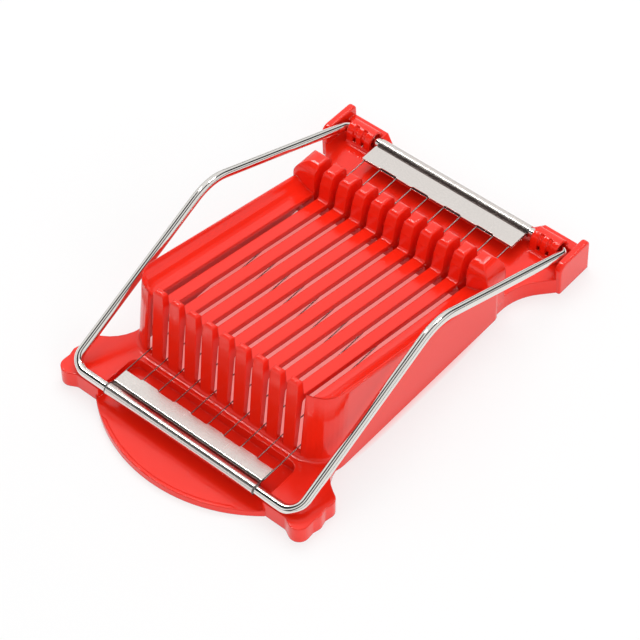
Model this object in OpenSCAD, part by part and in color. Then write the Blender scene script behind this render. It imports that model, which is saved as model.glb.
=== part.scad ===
// Wire slicer for luncheon meat and boiled eggs.
// A one-piece moulded tray carries the food; a frame bent from one steel rod turns in two barrels at the
// tray's rear and pulls ten steel wires, stretched between two folded sheet clamps, through the tray's slots.
// X runs across the tray, -Y is the tongue at the front, +Y the hinge, +Z up.
// The origin is the middle of the footprint, on the table.

/* [Tray] */
// Height of the flat deck above the table
deck_h = 8; // [7.8:0.1:8.2]
// Thickness of the moulded walls
wall = 2.1; // [1.8:0.1:2.4]
// Half width of the cradle at the table
cradle_half = 51.7; // [51.4:0.1:52]
// Plan radius of the cradle's front corners
cradle_r = 14; // [12:0.5:15]
// Lean of the cradle's side walls, in degrees
side_lean = 1.6; // [1:0.1:2]
// Lean of the cradle's front wall, in degrees
front_lean = 6.2; // [5:0.1:7]

/* [Cutting comb] */
// Number of wires, and of slots between the strips
wires = 10; // [8:2:10]
// Distance from wire to wire, which is the slice's thickness
pitch = 8.5; // [8.2:0.1:8.6]
// Width of one slot
slot_w = 3.2; // [2.6:0.1:3.6]
// Height of the posts at the cradle's front
post_top = 46; // [45:0.1:46.4]
// Height of the food bed at the posts
bed_front = 37.1; // [36.6:0.1:37.4]
// Height of the food bed at the foot of the fins
bed_rear = 17.6; // [17.2:0.1:18]
// Depth of the strips under the bed
strip_depth = 2.6; // [2:0.1:3]
// Height of the fins' rounded tops
fin_top = 31; // [29:0.5:32]

/* [Wire frame] */
// Diameter of the frame's rod
rod_d = 4; // [3.9:0.05:4]
// Distance from the middle to each arm
arm_x = 57.7; // [57.6:0.1:57.8]
// Height of the front bar's axis at rest
front_bar_z = 10.3; // [10.3:0.1:10.6]
// Height of the hinge axis
hinge_z = 12.5; // [12.4:0.1:12.6]
// Radial play of the rod in the hinge barrels
hinge_play = 0.07; // [0.04:0.01:0.1]

/* [Clamps and wires] */
// Thickness of the clamps' sheet
sheet = 0.5; // [0.4:0.05:0.6]
// Diameter of the cutting wires
wire_d = 0.5; // [0.4:0.05:0.6]
// Length of the rear clamp's flange
rear_flange = 9; // [8:0.5:9]
// Length of the front clamp's flange
front_flange = 7; // [6:0.5:7.5]

/* [Hidden] */
$fn = 48;

// Stations along the tray
front_bar_y = -81;
hinge_y = 90.2;
crown = [2.4, 48.4];
cradle_front = -58.4;
cradle_rear = 54.6;
bed_start = -50.2;
bed_end = 45;
fin_rear = 57;

// Across the tray
strip_w = pitch - slot_w;
slot_edge = (wires - 1) / 2 * pitch + slot_w / 2;
rod_r = rod_d / 2;

// ---- outlines and lofts -------------------------------------------------------------------------

// Direction of the outward normal on the straight run of a belt from pulley a to pulley b
function run_normal(a, b) =
    let (d = [b.x - a.x, b.y - a.y])
    atan2(d.y, d.x) - acos((a[2] - b[2]) / norm(d));

// The same turn brought within half a turn either way
function half_turn(t) = t > 180 ? half_turn(t - 360) : t < -180 ? half_turn(t + 360) : t;

// Outline of a belt round the pulleys [x, y, radius, steps], moved outwards by grow.
// The radius is negative where the belt passes with the pulley outside, and 0 at a sharp corner.
function belt(p, grow = 0) =
    [for (i = [0 : len(p) - 1])
        let (b = p[i], n = len(p),
            start = run_normal(p[(i + n - 1) % n], b),
            turn = half_turn(run_normal(b, p[(i + 1) % n]) - start))
        for (k = [0 : b[3]])
            let (a = start + (b[3] > 0 ? turn * k / b[3] : 0))
            [b.x, b.y] + (b[2] + grow) * [cos(a), sin(a)]];

// Both halves of an outline given by the pulleys of its right half, front to rear
function mirrored(p) = concat(p, [for (i = [len(p) - 1 : -1 : 0]) [-p[i].x, p[i].y, p[i][2], p[i][3]]]);

// Solid through a stack of rings that have the same number of points
module loft(rings) {
    n = len(rings[0]);
    last = (len(rings) - 1) * n;
    polyhedron(
        points = [for (ring = rings) each ring],
        faces = concat(
            [[for (i = [0 : n - 1]) i]],
            [[for (i = [n - 1 : -1 : 0]) last + i]],
            [for (k = [0 : n : last - 1], i = [0 : n - 1]) [k + i, k + n + i, k + n + (i + 1) % n]],
            [for (k = [0 : n : last - 1], i = [0 : n - 1]) [k + i, k + n + (i + 1) % n, k + (i + 1) % n]]));
}

// Extrudes an outline drawn as [y, z] along X, from x = start to x = end
module across(start, end) {
    translate([start, 0, 0]) rotate([90, 0, 90]) linear_extrude(end - start) children();
}

// Extrudes an outline drawn as [x, z] along the tray, from y = start to y = end
module along(start, end) {
    translate([0, end, 0]) rotate([90, 0, 0]) linear_extrude(end - start) children();
}

// The same thing on the right and on the left
module both_sides() {
    children();
    mirror([1, 0, 0]) children();
}

// ---- base tray ----------------------------------------------------------------------------------

// Right half of the deck's edge: front corner, three lobes of the foot, waist, flare and rear corner
deck_turns = mirrored([
    [53.5, -84.8, -2.2, 3],
    [59, -80.3, 4.4, 8],
    [65, -77.2, -1.8, 4],
    [60.2, -73.5, 3.8, 6],
    [65, -69.8, -1.8, 4],
    [60.1, -66, 3.8, 6],
    [69.7, -45, -19.2, 6],
    [77, 56.5, -26.6, 8],
    [61.4, 80.5, 1, 3],
    [61.4, 97.4, 1, 4],
    [42.4, 97.4, 1, 3],
    [36.8, 94.8, -1.6, 3]]);

// Deck block, with the tongue in front still at full height
module deck_block() {
    linear_extrude(deck_h) {
        polygon(belt(deck_turns));
        tongue_plan(0);
    }
}

// Space under the deck; the pocket's floor and walls stay
module deck_hollow() {
    translate([0, 0, -1]) linear_extrude(deck_h - wall + 1) difference() {
        offset(delta = -wall) polygon(belt(deck_turns));
        offset(delta = wall) pocket_plan();
    }
}

// Height of the rim and of the food bed at a place along the tray
rim_fall = tan(13.1);
bed_fall = (bed_front - bed_rear) / (bed_end - bed_start);
function rim_z(y) = 41.8 - rim_fall * (y + 40.4);
function bed_z(y) = bed_front - bed_fall * (y - bed_start);

// A point of the cradle's footprint carried up its leaning walls to height z
function lean(p, z) = [
    p.x * (1 - z * tan(side_lean) / cradle_half),
    p.y < 0 ? p.y * (1 + z * tan(front_lean) / cradle_front) : p.y,
    z];

cradle_turns = mirrored([
    [cradle_half - cradle_r, cradle_front + cradle_r, cradle_r, 10],
    [cradle_half - 3, cradle_rear - 3, 3, 3]]);

function cradle_foot(grow, z) = [for (p = belt(cradle_turns, grow)) lean(p, z)];
function cradle_rim(grow, drop) = [for (p = belt(cradle_turns, grow)) lean(p, rim_z(lean(p, 43).y) - drop)];

module cradle_block() {
    loft([cradle_foot(0, 0), cradle_rim(0, 1.3), cradle_rim(-0.4, 0.4), cradle_rim(-1.3, 0)]);
}

module cradle_hollow() {
    loft([cradle_foot(-wall, -1), cradle_rim(-wall, wall)]);
}

// Space of the food: flat bed, coved up to the rim at the sides and at the front corners
cove_r = 10.9;
cove_steps = 7;
cove_step = 9.2;
cove_corner = 5;
bed_turns = mirrored([
    [slot_edge - cove_corner, bed_start + cove_corner, cove_corner, 8],
    [slot_edge - 1, 80, 1, 2]]);

module food_space(shell = 0) {
    cove_front = 0.42;
    function side(a) = (cove_r + shell) * sin(a);
    function rise(a) = cove_r - (cove_r + shell) * cos(a);
    function along(y, g) = y > bed_start + cove_corner ? y
        : bed_start + cove_corner + (y - bed_start - cove_corner) * (cove_corner + cove_front * g)
            / (cove_corner + g);
    function level(g, h) = [for (p = belt(bed_turns, g))
        let (y = along(p.y, g)) [p.x, y, bed_z(y) + h]];
    loft(concat(
        [for (k = [0 : cove_steps]) level(side(k * cove_step), rise(k * cove_step))],
        [level(side(cove_steps * cove_step) + 1, 30)]));
}

// The cradle's two side walls with their coved shoulders; the strips of the comb stand between them
module cradle_sides() {
    difference() {
        cradle_block();
        food_space();
        translate([-slot_edge, -70, deck_h - 1]) cube([2 * slot_edge, 140, 60]);
    }
}

// Everything under the shoulders and the bed, open to the table
module cradle_underside() {
    difference() {
        intersection() {
            cradle_hollow();
            translate([-60, -70, -1]) cube([120, bed_end + 71.5, 60]);
        }
        difference() {
            food_space(wall);
            translate([-slot_edge, -70, -1]) cube([2 * slot_edge, 140, 60]);
        }
    }
}

// Blocks that close the cradle's sides at the rear, shaped like the fins but rounder
block_out = cradle_half - 0.7;
block_turns = [
    [bed_end + 0.7, deck_h - wall, 0, 0],
    [fin_rear + 0.5, deck_h - wall, 0, 0],
    [fin_rear - 3.5, fin_top - 3.8, 4, 6],
    [bed_end + 7, fin_top - 5.8, 6, 8],
    [bed_end + 1, bed_rear, 0, 0]];
block_face = [
    [slot_edge, deck_h - wall, 0, 0],
    [block_out, deck_h - wall, 0, 0],
    [block_out - 8.6, fin_top - 8.4, 8.6, 10],
    [slot_edge + 1.3, fin_top - 1.1, 1.3, 3]];

module block_form(inset) {
    intersection() {
        across(slot_edge - 1, block_out + 1) offset(delta = -inset) polygon(belt(block_turns));
        along(bed_end, fin_rear + 2) offset(delta = -inset) polygon(belt(block_face));
    }
}

module end_block() {
    difference() {
        block_form(0);
        block_form(wall);
        translate([slot_edge + wall, bed_end + 0.7 + wall, 0])
            cube([block_out - slot_edge - 2 * wall, fin_rear - bed_end - 2 * wall, deck_h + 0.5]);
    }
}

// One strip of the comb from the side: post with a domed top, food bed, fin with a domed top
bed_slope = atan(bed_fall);
foot_r = 1.2;
under_r = 1.5;
function on_bed(y) = bed_z(y) + foot_r / cos(bed_slope);
function under_bed(y) = bed_z(y) - (strip_depth + under_r) / cos(bed_slope);
strip_turns = [
    [cradle_front + 0.6, deck_h - wall, 0, 0],
    [cradle_front + 2.8, deck_h - wall, 0, 0],
    [bed_start, under_bed(bed_start), -under_r, 3],
    [bed_end - 1, under_bed(bed_end - 1), -under_r, 3],
    [bed_end + 1.5, deck_h - wall, 0, 0],
    [fin_rear + 1.3, deck_h - wall, 0, 0],
    [fin_rear - 3.4, fin_top - 3.6, 3.4, 6],
    [bed_end + 5.8, fin_top - 3.2, 3.2, 5],
    [bed_end + 3.2, fin_top - 6.4, 2, 2],
    [bed_end - 1, on_bed(bed_end - 1), -foot_r, 4],
    [bed_start + 0.6, on_bed(bed_start + 0.6), -foot_r, 3],
    [bed_start - 2.4, post_top - 1.6, 1.6, 8]];

// What is left standing round the posts' and the fins' tops, seen from the front
post_face = mirrored([[strip_w / 2, post_top - 7.5, 0, 0], [0.75, post_top - 1.7, 1.7, 6]]);
fin_face = mirrored([[strip_w / 2, fin_top - 7, 0, 0], [1.05, fin_top - 1.5, 1.5, 5]]);

module rounded_tops(face) {
    difference() {
        translate([-strip_w / 2 - 0.5, face[0].y]) square([strip_w + 1, 10]);
        polygon(belt(face));
    }
}

module each_strip() {
    for (i = [0 : wires - 2])
        translate([(i - (wires - 2) / 2) * pitch, 0]) children();
}

module comb_strips() {
    difference() {
        each_strip() across(-strip_w / 2, strip_w / 2) polygon(belt(strip_turns));
        along(cradle_front, bed_start + 3) each_strip() rounded_tops(post_face);
        along(bed_end, fin_rear + 3) each_strip() rounded_tops(fin_face);
    }
}

// Fillet along the foot of the cradle's front wall; it also makes the sill that closes the slots' lower ends
foot_fillet_r = 1.6;
module foot_fillet() {
    intersection() {
        loft(concat(
            [cradle_foot(foot_fillet_r, deck_h - 0.5)],
            [for (a = [0 : 30 : 90])
                cradle_foot(foot_fillet_r * (1 - sin(a)) - 0.05, deck_h + foot_fillet_r * (1 - cos(a)))]));
        linear_extrude(deck_h + 5) intersection() {
            polygon(belt(deck_turns));
            translate([-70, -90]) square([140, 60]);
        }
    }
}

// Finger pocket under the front bar, and the tongue that carries its floor forward
pocket_half = 42.5;
pocket_rear = -61;
pocket_r = 4;
pocket_floor = 3;
tongue_r = 68;
tongue_y = -31;
tongue_lip = 0.3;
tongue_half = pocket_half + 1.5;
deck_front = -82.6;

module pocket_plan() {
    translate([pocket_r - pocket_half, pocket_rear - pocket_r - 20])
        offset(r = pocket_r) square([2 * (pocket_half - pocket_r), 20]);
}

module tongue_plan(inset) {
    intersection() {
        translate([0, tongue_y]) circle(r = tongue_r - inset, $fn = 120);
        translate([inset - tongue_half, -100]) square([2 * (tongue_half - inset), 20]);
    }
}

// Everything above the pocket's floor and above the tongue's raised lip
module pocket_space() {
    translate([0, 0, pocket_floor]) linear_extrude(20) {
        pocket_plan();
        tongue_plan(1.5);
    }
    translate([-tongue_half - 0.1, -100, pocket_floor + tongue_lip])
        cube([2 * tongue_half + 0.2, 100 + deck_front, 20]);
}

// Hinge: two barrels, grooved in front, with a saddle falling back to a raised pad, guarded by an ear outside
barrel_in = 42.5;
barrel_out = 55.3;
barrel_r = 4.3;
pad_top = 12.2;
pad_rear = 98.4;
pad_edge = 1;
saddle_r = 1.2;
recess_r = 3.2;
recess_depth = 3;
groove_w = 1.8;
groove_pitch = 4.4;
groove_depth = 0.7;

module barrel() {
    across(barrel_in, barrel_out) polygon(belt([
        [82, deck_h - 1, 0, 0],
        [pad_rear - 0.3, deck_h - 1, 0, 0],
        [pad_rear - pad_edge - 0.3, pad_top - pad_edge, pad_edge, 3],
        [95.8, pad_top + saddle_r, -saddle_r, 4],
        [hinge_y, hinge_z, barrel_r, 12],
        [84.3, deck_h + 1.6, -1.6, 3],
        [82, deck_h - 0.1, 0, 0]]));
}

module barrel_grooves() {
    for (side = [-1, 1])
        translate([(barrel_in + barrel_out) / 2 + side * groove_pitch / 2 - groove_w / 2, hinge_y, hinge_z])
            intersection() {
                rotate([0, 90, 0]) difference() {
                    cylinder(r = barrel_r + 0.6, h = groove_w);
                    cylinder(r = barrel_r - groove_depth, h = groove_w);
                }
                translate([-1, -barrel_r - 2, deck_h + 0.6 - hinge_z])
                    cube([groove_w + 2, barrel_r + 1, 2 * barrel_r]);
            }
}

module barrel_bore() {
    translate([barrel_in, hinge_y, hinge_z]) rotate([0, 90, 0]) {
        translate([0, 0, -1]) cylinder(r = rod_r + hinge_play, h = barrel_out - barrel_in + 2);
        translate([0, 0, -1]) cylinder(r = recess_r, h = recess_depth + 1);
        translate([0, 0, barrel_out - barrel_in - recess_depth]) cylinder(r = recess_r, h = recess_depth + 1);
    }
}

// Raised pad along the rear edge; its inner end ramps down to the deck
pad_in = 42;
ramp_in = 35.8;
module pad_section(top, rear) {
    polygon(belt([
        [93, deck_h - 1, 0, 0],
        [rear - 0.3, deck_h - 1, 0, 0],
        [rear - pad_edge - 0.3, top - pad_edge, pad_edge, 3],
        [93.6, top - 0.6, 0.6, 2]]));
}

module pad() {
    across(pad_in - 0.1, 61) pad_section(pad_top, pad_rear);
    hull() {
        across(pad_in - 0.1, pad_in) pad_section(pad_top, pad_rear);
        translate([ramp_in, 93, deck_h - 1]) cube([0.4, 2.1, 1.1]);
    }
}

// Ear with rounded edges, standing on the table outside the hinge
ear_in = 60.1;
ear_out = 63.4;
ear_edge = 0.9;
ear_turns = [
    [79.6, -3, 0, 0],
    [99.4, -3, 0, 0],
    [96.8, 14.3, 2.2, 5],
    [82.6, 12.7, 3.8, 6]];

module ear() {
    function ring(x, inset) = [for (p = belt(ear_turns, -inset)) [x, p.x, p.y]];
    intersection() {
        loft(concat(
            [for (a = [0 : 30 : 90]) ring(ear_in + ear_edge * (1 - cos(a)), ear_edge * (1 - sin(a)))],
            [for (a = [90 : -30 : 0]) ring(ear_out - ear_edge * (1 - cos(a)), ear_edge * (1 - sin(a)))]));
        translate([ear_in - 1, 70, 0]) cube([10, 40, 30]);
    }
}

module base_tray() {
    color("red") {
        difference() {
            union() {
                deck_block();
                foot_fillet();
                cradle_sides();
                both_sides() {
                    barrel();
                    pad();
                    ear();
                }
            }
            deck_hollow();
            cradle_underside();
            pocket_space();
            both_sides() {
                barrel_bore();
                barrel_grooves();
            }
        }
        both_sides() end_block();
        comb_strips();
    }
}

// ---- wire frame ---------------------------------------------------------------------------------

front_slope = atan2(crown.y - front_bar_z, crown.x - front_bar_y);
rear_slope = atan2(crown.y - hinge_z, hinge_y - crown.x);
front_run = norm([crown.x - front_bar_y, crown.y - front_bar_z]);
rear_run = norm([hinge_y - crown.x, crown.y - hinge_z]);
crown_r = 22;
crown_cut = crown_r * tan((front_slope + rear_slope) / 2);
front_corner_r = 7;
rear_corner_r = 4;
butt_gap = 0.3;

module rod(length) {
    cylinder(r = rod_r, h = length);
}

// Core inside the rod where a straight run goes over into the crown's bend, so that the two are one solid
module core() {
    cylinder(r = rod_r - 0.3, h = 2, center = true);
}

// Bend of the rod in the XY plane, round the origin, between two directions
module rod_bend(radius, start, end) {
    rotate([0, 0, start]) rotate_extrude(angle = end - start) translate([radius, 0]) circle(r = rod_r);
}

// Half of the frame, on the right; the two ends of the rod meet inside the rear clamp
module frame_half() {
    translate([0, front_bar_y, front_bar_z]) rotate([front_slope, 0, 0]) {
        rotate([0, 90, 0]) rod(arm_x - front_corner_r);
        translate([arm_x - front_corner_r, front_corner_r, 0]) rod_bend(front_corner_r, -90, 0);
        translate([arm_x, front_corner_r, 0]) rotate([-90, 0, 0]) rod(front_run - front_corner_r - crown_cut);
        translate([arm_x, front_run - crown_cut, 0]) rotate([90, 0, 0]) core();
    }
    translate([arm_x, crown.x, crown.y]) rotate([90, 0, 90]) {
        half = (front_slope + rear_slope) / 2;
        mid = 90 + (front_slope - rear_slope) / 2;
        translate(-crown_r / cos(half) * [cos(mid), sin(mid), 0])
            rod_bend(crown_r, 90 - rear_slope, 90 + front_slope);
    }
    translate([0, hinge_y, hinge_z]) rotate([-rear_slope, 0, 0]) {
        translate([butt_gap / 2, 0, 0]) rotate([0, 90, 0]) rod(arm_x - rear_corner_r - butt_gap / 2);
        translate([arm_x - rear_corner_r, -rear_corner_r, 0]) rod_bend(rear_corner_r, 0, 90);
        translate([arm_x, -rear_corner_r, 0]) rotate([90, 0, 0]) rod(rear_run - rear_corner_r - crown_cut);
        translate([arm_x, crown_cut - rear_run, 0]) rotate([90, 0, 0]) core();
    }
}

module wire_frame() {
    color("silver") both_sides() frame_half();
}

// ---- clamps and wires ---------------------------------------------------------------------------

grip = 0.03;
leaf_gap = wire_d - 2 * grip;
rear_wire_z = 13.45;
front_wire_z = 11.5;
neck = 3.8;

// Folded sheet from the side: a tube round the bar at the origin and two leaves that hold the wires.
// The leaves lie towards +Y at height rise, from the neck to the flange's free edge.
module clamp_section(rise, flange) {
    half = leaf_gap / 2;
    difference() {
        union() {
            circle(r = rod_r - grip + sheet);
            polygon([[1, rise + half + sheet - 0.9], [neck, rise + half], [neck, rise + half + sheet],
                [1, rise + half + sheet + 0.4]]);
            polygon([[1, rise - half - sheet - 0.4], [neck, rise - half - sheet], [neck, rise - half],
                [1, rise - half - sheet + 0.9]]);
        }
        circle(r = rod_r - grip);
    }
    for (z = [rise + half, rise - half - sheet])
        translate([neck - 0.1, z]) square([flange + 0.1, sheet]);
}

// Steps in the free edge of the upper leaf, between every second pair of wires
module edge_steps(first, y, z) {
    for (i = [first : 2 : wires - 2])
        translate([(i - (wires - 1) / 2) * pitch, y - 0.5, z]) cube([pitch, 1, 3]);
}

module wire_clamp(half_l, rise, flange, first) {
    color("gainsboro") difference() {
        across(-half_l, half_l) clamp_section(rise, flange);
        edge_steps(first, neck + flange, rise);
    }
}

module front_wire_clamp() {
    translate([0, front_bar_y, front_bar_z]) wire_clamp(38, front_wire_z - front_bar_z, front_flange, 0);
}

module rear_wire_clamp() {
    translate([0, hinge_y, hinge_z]) mirror([0, 1, 0]) wire_clamp(39.5, rear_wire_z - hinge_z, rear_flange, 1);
}

module cutting_wire(i) {
    start = [0, front_bar_y + neck + 1, front_wire_z];
    end = [0, hinge_y - neck - 1, rear_wire_z];
    span = end - start;
    color("lightgray") translate([(i - (wires + 1) / 2) * pitch, 0, 0] + start)
        rotate([atan2(span.z, span.y) - 90, 0, 0]) cylinder(d = wire_d, h = norm(span), $fn = 16);
}

base_tray();
wire_frame();
front_wire_clamp();
rear_wire_clamp();
cutting_wire(1);  // cutting_wire_01
cutting_wire(2);  // cutting_wire_02
cutting_wire(3);  // cutting_wire_03
cutting_wire(4);  // cutting_wire_04
cutting_wire(5);  // cutting_wire_05
cutting_wire(6);  // cutting_wire_06
cutting_wire(7);  // cutting_wire_07
cutting_wire(8);  // cutting_wire_08
cutting_wire(9);  // cutting_wire_09
cutting_wire(10);  // cutting_wire_10
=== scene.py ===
# Wire slicer for eggs and luncheon meat.
# A red moulded tray with a slotted food bed; a steel rod frame turns in two barrels at its rear and carries
# ten cutting wires between two folded clamps.
from math import asin, atan2, copysign, cos, pi, radians, sin, sqrt

import bmesh
import bpy
from mathutils import Matrix, Vector


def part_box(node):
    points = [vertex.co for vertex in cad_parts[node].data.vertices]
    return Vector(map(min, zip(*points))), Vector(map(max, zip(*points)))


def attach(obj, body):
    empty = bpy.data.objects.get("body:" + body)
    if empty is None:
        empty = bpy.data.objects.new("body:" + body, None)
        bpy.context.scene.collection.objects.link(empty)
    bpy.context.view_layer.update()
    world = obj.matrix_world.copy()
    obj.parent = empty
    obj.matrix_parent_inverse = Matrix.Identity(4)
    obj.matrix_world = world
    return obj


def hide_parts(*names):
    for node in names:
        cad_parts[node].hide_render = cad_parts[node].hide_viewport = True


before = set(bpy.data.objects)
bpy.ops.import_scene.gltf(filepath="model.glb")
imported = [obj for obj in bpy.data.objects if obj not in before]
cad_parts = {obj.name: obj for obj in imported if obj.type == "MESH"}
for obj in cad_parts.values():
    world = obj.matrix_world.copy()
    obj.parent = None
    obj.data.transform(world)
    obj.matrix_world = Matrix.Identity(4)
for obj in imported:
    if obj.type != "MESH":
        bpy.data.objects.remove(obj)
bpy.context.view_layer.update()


# ---- Tray ---------------------------------------------------------------------------------------
# One injection moulding in glossy red ABS: skirt, deck, cradle, the comb of strips and the hinge barrels.
# The mould was polished, so it shines, with faint waves over the flats and hairline scuffs from use.

class Link:
    """A socket of a finish. Sums and products of links add the Math nodes that they need."""

    def __init__(self, finish, socket):
        self.finish = finish
        self.socket = socket

    def math(self, operation, *values):
        return self.finish.node("ShaderNodeMath", {"operation": operation}, dict(enumerate(values)))

    def __add__(self, other):
        return self.math("ADD", self, other)

    def __sub__(self, other):
        return self.math("SUBTRACT", self, other)

    def __mul__(self, other):
        return self.math("MULTIPLY", self, other)

    def __rsub__(self, other):
        return self.math("SUBTRACT", other, self)

    __radd__ = __add__
    __rmul__ = __mul__


class Finish:
    """A node tree for one surface, built node by node on Object coordinates."""

    def __init__(self, owner):
        owner.use_nodes = True
        self.owner = owner
        self.tree = owner.node_tree
        self.tree.nodes.clear()
        self.place = self.node("ShaderNodeTexCoord", output="Object")

    def node(self, kind, settings={}, inputs={}, output=0):
        """A new node with its settings and its sockets' values or links. Gives its output."""
        made = self.tree.nodes.new(kind)
        for name, value in settings.items():
            setattr(made, name, value)
        for name, value in inputs.items():
            if isinstance(value, Link):
                self.tree.links.new(value.socket, made.inputs[name])
            else:
                made.inputs[name].default_value = value
        return Link(self, made.outputs[output])

    def noise(self, scale, detail, stretch=(1, 1, 1)):
        """Noise of about scale grains per metre, drawn out where stretch is below 1."""
        along = self.node("ShaderNodeMapping", {}, {"Vector": self.place, "Scale": stretch})
        return self.node("ShaderNodeTexNoise", {}, {"Vector": along, "Scale": scale, "Detail": detail})

    def between(self, value, low, high):
        """0 below low and 1 above high, with a straight ramp between."""
        return self.node("ShaderNodeMapRange", {}, {"Value": value, "From Min": low, "From Max": high})

    def mix(self, amount, first, second):
        return self.node("ShaderNodeMix", {"data_type": "RGBA"}, {0: amount, 6: first, 7: second}, output=2)

    def bump(self, height, depth, strength, under=None):
        inputs = {"Height": height, "Distance": depth, "Strength": strength}
        if under:
            inputs["Normal"] = under
        return self.node("ShaderNodeBump", {}, inputs)

    def close(self, shader, kind="ShaderNodeOutputMaterial"):
        end = self.tree.nodes.new(kind)
        self.tree.links.new(shader.socket, end.inputs["Surface"])


def finish_node(name, material):
    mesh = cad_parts[name].data
    mesh.materials.clear()
    mesh.materials.append(material)


edge_radius = 0.0008
red = Finish(bpy.data.materials.new("red ABS"))
waves = red.noise(38, 1.0)
clouds = red.noise(14, 2.0)
haze = red.noise(260, 3.0)
scratches = red.between(red.noise(900, 2.0, stretch=(1, 0.04, 1)), 0.66, 0.78)
edge_round = red.node("ShaderNodeBevel", {"samples": 8}, {"Radius": edge_radius})
plastic = red.node("ShaderNodeBsdfPrincipled", {}, {
    "Base Color": red.mix(clouds, (0.86, 0.016, 0.005, 1), (0.92, 0.022, 0.007, 1)),
    "Roughness": 0.12 + haze * 0.08 + scratches * 0.10,
    "IOR": 1.50,
    "Normal": red.bump(scratches, 0.00002, 0.3, red.bump(waves, 0.0008, 0.12, edge_round)),
})
red.close(plastic)
finish_node("base_tray", red.owner)


# ---- Wire frame ---------------------------------------------------------------------------------
# Four millimetre stainless rod, bent cold into a long rectangle and cranked over the crown, then polished.
# The drawing die leaves fine lines along it, and it is a little duller where the clamps were crimped on.

steel = Finish(bpy.data.materials.new("polished rod"))
die_lines = steel.noise(1500, 2.0, stretch=(1, 0.06, 1))
dull = steel.noise(60, 2.0)
rod_shader = steel.node("ShaderNodeBsdfPrincipled", {}, {
    "Base Color": steel.mix(dull, (0.84, 0.82, 0.79, 1), (0.76, 0.73, 0.69, 1)),
    "Metallic": 1.0,
    "Roughness": 0.07 + dull * 0.05 + die_lines * 0.03,
    "Normal": steel.bump(die_lines, 0.00001, 0.25),
})
steel.close(rod_shader)
finish_node("wire_frame", steel.owner)


# ---- Wire clamps --------------------------------------------------------------------------------
# Half millimetre stainless sheet, folded round each bar and pinched shut so that its leaves grip the wires.
# Mill finish: a warm satin grey with a fine grain along the strip, the odd scratch and painted shade at the
# pinch.
# The upper leaf's free edge is drawn back between every second pair of wires, where the press tool nipped it.

wire_names = [name for name in sorted(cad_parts) if name.startswith("cutting_wire")]
wire_boxes = [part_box(name) for name in wire_names]
wire_places = [(low[0] + high[0]) / 2 for low, high in wire_boxes]
wire_pitch = wire_places[1] - wire_places[0]
wire_radius = 0.00025
bar_radius = 0.002
sheet_thick = 0.0005
crimp = 0.00003
tube_radius = bar_radius - crimp + sheet_thick / 2
tube_outside = tube_radius + sheet_thick / 2
tube_steps = 28
slope_tilt = radians(25)
pinch_y = 0.0029
pinch_depth = 0.0005
leaf_start = 0.0037
bend = 0.0003
tip_length = 0.002
nip_depth = 0.0006
nip_slope = 0.0009
edge_width = 0.00008
painted_shade_y = 0.0023
painted_shade_half = 0.0007
painted_shade_fade = 0.0003
hair = 0.000001


def stand(name, shape, material):
    """Puts a finished shape in the scene as a smooth object of one material."""
    mesh = bpy.data.meshes.new(name)
    shape.to_mesh(mesh)
    shape.free()
    mesh.shade_smooth()
    mesh.materials.append(material)
    piece = bpy.data.objects.new(name, mesh)
    bpy.context.scene.collection.objects.link(piece)
    return piece


def clamp_sheet(name, node, wire_z, first_nip, side):
    """A clamp whose leaves reach towards the food, which is +Y for side 1 and -Y for side -1."""
    low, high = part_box(node)
    half = high[0]
    bar_z = low[2] + tube_outside
    back, front = (low[1], high[1]) if side > 0 else (high[1], low[1])
    bar_y = back + side * tube_outside
    reach = abs(front - bar_y)
    leaf = wire_radius + sheet_thick / 2
    upper = wire_z - bar_z + leaf
    lower = wire_z - bar_z - leaf
    start = pi / 2 - slope_tilt
    turn = 2 * pi + asin(lower / tube_radius) - start

    shape = bmesh.new()
    mouth = shape.verts.new((-half, tube_radius * cos(start), tube_radius * sin(start)))
    bmesh.ops.spin(shape, geom=[mouth], cent=(-half, 0, 0), axis=(1, 0, 0), angle=turn, steps=tube_steps)
    ends = [corner for corner in shape.verts if len(corner.link_edges) == 1]
    for corner in ends:
        height = lower if corner.co.z < upper else upper
        for y, dip in ((pinch_y, pinch_depth), (leaf_start, 0), (reach - tip_length, 0), (reach, 0)):
            corner = bmesh.ops.extrude_vert_indiv(shape, verts=[corner])["verts"][0]
            corner.co.yz = y, height - dip
    bends = [corner for corner in shape.verts if pinch_y - hair < corner.co.y < leaf_start + hair]
    bmesh.ops.bevel(shape, geom=bends, offset=bend, segments=3, profile=0.5, affect="VERTICES", material=-1)

    nips = wire_places[first_nip:-1:2]
    nip_ends = [end for nip in nips for end in (nip, nip + wire_pitch)]
    stations = [end + slope for end in nip_ends for slope in (-nip_slope / 2, nip_slope / 2)]
    stations = [station for station in stations if abs(station) < half] + [half]
    section = shape.edges[:]
    x = -half
    for station in sorted(stations):
        grown = bmesh.ops.extrude_edge_only(shape, edges=section)["geom"]
        section = [part for part in grown if isinstance(part, bmesh.types.BMEdge)]
        corners = [part for part in grown if isinstance(part, bmesh.types.BMVert)]
        bmesh.ops.translate(shape, verts=corners, vec=(station - x, 0, 0))
        x = station
    for corner in shape.verts:
        nipped = any(nip < corner.co.x < nip + wire_pitch for nip in nips)
        if nipped and corner.co.y > reach - hair and corner.co.z > (upper + lower) / 2:
            corner.co.y -= nip_depth
    bmesh.ops.scale(shape, verts=shape.verts, vec=(1, side, 1))
    bmesh.ops.translate(shape, verts=shape.verts, vec=(0, bar_y, bar_z))
    bmesh.ops.recalc_face_normals(shape, faces=shape.faces)

    clamp = stand(name, shape, sheet.owner)
    wall = clamp.modifiers.new("sheet", "SOLIDIFY")
    wall.thickness = sheet_thick
    wall.offset = 0
    wall.use_even_offset = True
    edge = clamp.modifiers.new("dulled edge", "BEVEL")
    edge.width = edge_width
    edge.segments = 2
    edge.limit_method = "ANGLE"
    edge.angle_limit = radians(40)
    flats = clamp.modifiers.new("flat leaves", "WEIGHTED_NORMAL")
    flats.weight = 100
    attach(clamp, "cutting_frame")
    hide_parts(node)


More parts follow.
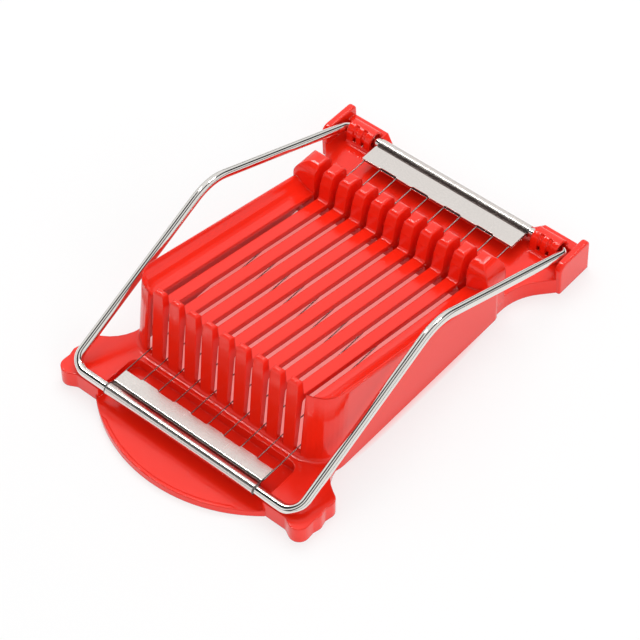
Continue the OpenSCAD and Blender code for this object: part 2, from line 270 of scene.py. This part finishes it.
sheet = Finish(bpy.data.materials.new("clamp sheet"))
grain = sheet.noise(1900, 4.0, stretch=(0.5, 1, 1))
blotches = sheet.noise(120, 3.0)
marks = sheet.between(sheet.noise(700, 1.0, stretch=(1, 0.12, 1)), 0.68, 0.76)
clamps_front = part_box("front_wire_clamp")[0][1]
clamps_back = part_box("rear_wire_clamp")[1][1]
middle = (clamps_back + clamps_front) / 2
pinch_from_middle = (clamps_back - clamps_front) / 2 - tube_outside - painted_shade_y
across = sheet.node("ShaderNodeSeparateXYZ", {}, {0: sheet.place}, output=1) - middle
off_pinch = across.math("ABSOLUTE", across) - pinch_from_middle
# Painted shade: the base colour turns dark in a band along each pinch, where the valley between tube and leaf
# lies in shade.
outside_painted_shade = sheet.between(off_pinch.math("ABSOLUTE", off_pinch), painted_shade_half, painted_shade_half + painted_shade_fade)
bright = sheet.mix(grain, (0.66, 0.62, 0.59, 1), (0.84, 0.79, 0.75, 1))
sheet_shader = sheet.node("ShaderNodeBsdfPrincipled", {}, {
    "Base Color": sheet.mix(outside_painted_shade, (0.13, 0.10, 0.09, 1), bright),
    "Metallic": 1.0,
    "Roughness": 0.17 + blotches * 0.12 + marks * 0.06,
    "Normal": sheet.bump(grain, 0.00003, 0.05),
})
sheet.close(sheet_shader)
front_wire_z = wire_boxes[0][0][2] + wire_radius
rear_wire_z = wire_boxes[0][1][2] - wire_radius
clamp_sheet("front_clamp_sheet", "front_wire_clamp", front_wire_z, 0, 1)
clamp_sheet("rear_clamp_sheet", "rear_wire_clamp", rear_wire_z, 1, -1)


# ---- Cutting wires ------------------------------------------------------------------------------
# Half millimetre hard-drawn stainless wire, stretched between the two clamps. Bare and dark, with die lines.

hard_drawn = Finish(bpy.data.materials.new("cutting wire"))
wire_lines = hard_drawn.noise(2500, 2.0, stretch=(1, 0.05, 1))
wire_shader = hard_drawn.node("ShaderNodeBsdfPrincipled", {}, {
    "Base Color": hard_drawn.mix(wire_lines, (0.17, 0.16, 0.15, 1), (0.32, 0.30, 0.29, 1)),
    "Metallic": 1.0,
    "Roughness": 0.20 + wire_lines * 0.10,
})
hard_drawn.close(wire_shader)
for name in wire_names:
    finish_node(name, hard_drawn.owner)


# ---- Wire wraps ---------------------------------------------------------------------------------
# The ends of the two outermost wires. These pass just outside the front clamp, which can't grip them, so each
# is led down to the front bar and wound a little more than once round it, outwards from the clamp.

wrap_sides = 10
wrap_turn = radians(395)
wrap_steps = 48
wrap_advance = 0.00001
bar_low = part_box("front_wire_clamp")[0]
bar_y = bar_low[1] + tube_outside
bar_z = bar_low[2] + tube_outside
wrap_radius = bar_radius + wire_radius
for side, x in (("left", wire_places[0]), ("right", wire_places[-1])):
    wire_end = Vector((x, wire_boxes[0][0][1], front_wire_z))
    away = wire_end - Vector((x, bar_y, bar_z))
    lead = sqrt(away.length ** 2 - wrap_radius ** 2)
    shape = bmesh.new()
    ring = bmesh.ops.create_circle(shape, segments=wrap_sides, radius=wire_radius)["verts"]
    bmesh.ops.rotate(shape, verts=ring, cent=(0, 0, 0), matrix=Matrix.Rotation(pi / 2, 3, "X"))
    bmesh.ops.translate(shape, verts=ring, vec=(0, lead, wrap_radius))
    led = bmesh.ops.extrude_edge_only(shape, edges=shape.edges[:])["geom"]
    led_verts = [part for part in led if isinstance(part, bmesh.types.BMVert)]
    led_edges = [part for part in led if isinstance(part, bmesh.types.BMEdge)]
    bmesh.ops.translate(shape, verts=led_verts, vec=(0, -lead, 0))
    bmesh.ops.spin(shape, geom=led_edges, cent=(0, 0, 0), axis=(1, 0, 0), angle=wrap_turn, steps=wrap_steps,
                   dvec=(copysign(wrap_advance, x), 0, 0))
    bmesh.ops.holes_fill(shape, edges=shape.edges, sides=wrap_sides)
    rise = atan2(away.z, away.y) - atan2(wrap_radius, lead)
    bmesh.ops.rotate(shape, verts=shape.verts, cent=(0, 0, 0), matrix=Matrix.Rotation(rise, 3, "X"))
    bmesh.ops.translate(shape, verts=shape.verts, vec=(x, bar_y, bar_z))
    bmesh.ops.recalc_face_normals(shape, faces=shape.faces)
    wrap = stand(f"{side}_wire_wrap", shape, hard_drawn.owner)
    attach(wrap, "cutting_frame")


# ---- Floor --------------------------------------------------------------------------------------
# White studio sweep. It shows as plain white and keeps a light shadow under the tray. Inside the tray's
# outline a pink glow is painted on it, standing in for light that comes through the thin red walls. From
# below it is seen through.

painted_glow_width = 0.052
painted_glow_length = 0.070
floor_radius = 1.2
floor_drop = 0.00005
seen_share = 0.7


def seen_directly(finish):
    """1 for the rays of the eye and of shiny things, 0 for the light that falls on the object."""
    path = finish.tree.nodes.new("ShaderNodeLightPath")
    kinds = ("Is Camera Ray", "Is Glossy Ray", "Is Transmission Ray")
    rays = [Link(finish, path.outputs[kind]) for kind in kinds]
    total = rays[0] + rays[1] + rays[2]
    total.socket.node.use_clamp = True
    return total


sweep = Finish(bpy.data.materials.new("white sweep"))
shrink = (1 / painted_glow_width, 1 / painted_glow_length, 0)
spot = sweep.node("ShaderNodeMapping", {}, {"Vector": sweep.place, "Scale": shrink})
spot_axes = sweep.node("ShaderNodeSeparateXYZ", {}, {0: spot}).socket.node.outputs
spot_x, spot_y = [Link(sweep, spot_axes[axis]) for axis in "XY"]
from_middle = spot_x * spot_x * spot_x * spot_x + spot_y * spot_y * spot_y * spot_y
outside = sweep.between(from_middle, 0.8, 1.2)
paper = sweep.node("ShaderNodeBsdfDiffuse", {}, {"Color": (0.88, 0.88, 0.88, 1)})
# Painted glow: the sweep's emission is pink inside the tray's outline, for light through the red walls, and
# white outside it.
white_with_painted_pink = sweep.node("ShaderNodeEmission", {}, {
    "Color": sweep.mix(outside, (1.15, 0.27, 0.25, 1), (1, 1, 1, 1)), "Strength": 1.0})
lit_paper = sweep.node("ShaderNodeMixShader", {}, {0: seen_directly(sweep) * seen_share, 1: paper, 2: white_with_painted_pink})
from_below = sweep.node("ShaderNodeNewGeometry", output="Backfacing")
open_below = sweep.node("ShaderNodeBsdfTransparent")
sweep.close(sweep.node("ShaderNodeMixShader", {}, {0: from_below, 1: lit_paper, 2: open_below}))
shape = bmesh.new()
bmesh.ops.create_circle(shape, cap_ends=True, segments=64, radius=floor_radius)
bmesh.ops.translate(shape, verts=shape.verts, vec=(0, 0, -floor_drop))
stand("sweep", shape, sweep.owner)


# ---- Studio -------------------------------------------------------------------------------------
# White tent: plain white all round for the eye. Polished steel also sees dark gaps in it: one at the height
# of the table's edge, a slit over the arms and a flap on the maker's side, which draw black lines on the rod.

gap_fade = 0.05
flap_end_fade = 0.06
slit_normal = (0.902, 0.0, -0.43)
slit_half = 0.16
flap_normal = (0.0, 0.883, 0.469)
flap_half = 0.36
flap_left = -0.62
flap_right = -0.20
table_low = 0.03
table_high = 0.16
gap_light = 0.03
tent_light = 0.90
fill_light = 0.66
tent = Finish(bpy.data.worlds.new("studio"))
bpy.context.scene.world = tent.owner
direction = tent.node("ShaderNodeTexCoord", output="Generated")
parts = tent.node("ShaderNodeSeparateXYZ", {}, {0: direction})
sideways, up = [Link(tent, parts.socket.node.outputs[axis]) for axis in "XZ"]


def beyond(normal, half):
    """0 within half of the plane that normal stands on, 1 outside it."""
    dot = {"operation": "DOT_PRODUCT"}
    height = tent.node("ShaderNodeVectorMath", dot, {0: direction, 1: normal}, output=1)
    return tent.between(height.math("ABSOLUTE", height), half, half + gap_fade)


slit = beyond(slit_normal, slit_half)
flap_ends = (tent.between(sideways, flap_right, flap_right + flap_end_fade)
             + tent.between(sideways, flap_left, flap_left - flap_end_fade))
flap = flap_ends.math("MAXIMUM", flap_ends, beyond(flap_normal, flap_half))
table_edge = tent.between(up, table_low, table_high)
path = tent.tree.nodes.new("ShaderNodeLightPath")
camera_ray = Link(tent, path.outputs["Is Camera Ray"])
glossy_ray = Link(tent, path.outputs["Is Glossy Ray"])
reflected = gap_light + slit * flap * table_edge * tent_light
strength = camera_ray + glossy_ray * reflected + (1 - camera_ray) * (1 - glossy_ray) * fill_light
tent.close(tent.node("ShaderNodeBackground", {}, {"Color": (1, 1, 1, 1), "Strength": strength}),
           "ShaderNodeOutputWorld")


def softbox(name, place, width, height, watts, shows_in_gloss):
    light = bpy.data.lights.new(name, "AREA")
    light.shape = "RECTANGLE"
    light.size = width
    light.size_y = height
    light.energy = watts
    holder = bpy.data.objects.new(name, light)
    holder.location = place
    holder.rotation_euler = (-Vector(place)).to_track_quat("-Z", "Y").to_euler()
    holder.visible_glossy = shows_in_gloss
    holder.visible_diffuse = not shows_in_gloss
    bpy.context.scene.collection.objects.link(holder)


softbox("overhead softbox", (-0.35, 0.5, 1.3), 1.1, 1.1, 11, False)
softbox("front softbox", (0.9, -0.5, 0.5), 0.6, 0.5, 2.8, False)
softbox("strip along the front", (-0.54, 0.06, 1.18), 0.09, 0.5, 3.0, True)
softbox("strip along the side", (0.13, 0.64, 1.12), 0.16, 0.4, 3, True)

view = bpy.data.cameras.new("camera")
view.lens = 134.81
view.sensor_width = 36
camera = bpy.data.objects.new("camera", view)
camera.location = (0.404319, -0.480517, 0.738792)
camera.rotation_euler = (radians(40.656), 0, radians(39.938))
bpy.context.scene.collection.objects.link(camera)
bpy.context.scene.camera = camera
bpy.context.scene.view_settings.view_transform = "Standard"
